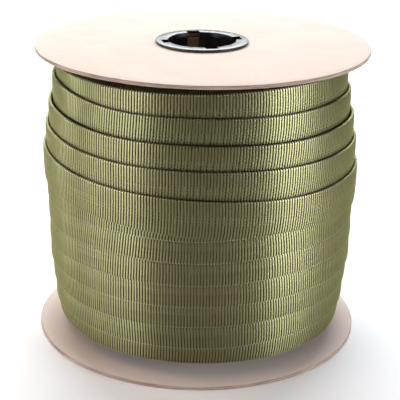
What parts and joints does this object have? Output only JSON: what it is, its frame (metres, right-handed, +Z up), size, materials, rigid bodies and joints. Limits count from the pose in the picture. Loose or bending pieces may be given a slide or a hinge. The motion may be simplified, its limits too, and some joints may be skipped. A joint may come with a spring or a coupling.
{
  "type": "roll of tubular webbing on a spool",
  "caption": "Flat tubular webbing wound in overlapping turns on a spool of board flanges, a paper core tube and moulded bushings; a rod goes through its bore.",
  "frame": {"origin": "on the spool's axis, at the surface that the lower flange stands on", "axes": "+Z up along the spool's axis, +X to the right and -Y to the front as pictured"},
  "size_m": [0.2172, 0.216, 0.196],
  "materials": {
    "webbing": "olive ribbed nylon, slight sheen",
    "board": "matte fibreboard, pinkish beige",
    "core": "matte wound paper, brown",
    "bushing": "black moulded plastic, satin"
  },
  "bodies": {
    "root": {"webbing_winding": "webbing", "flange_top": "board", "flange_bottom": "board", "core_tube": "core", "bushing_top": "bushing", "bushing_bottom": "bushing"}
  },
  "joints": []
}
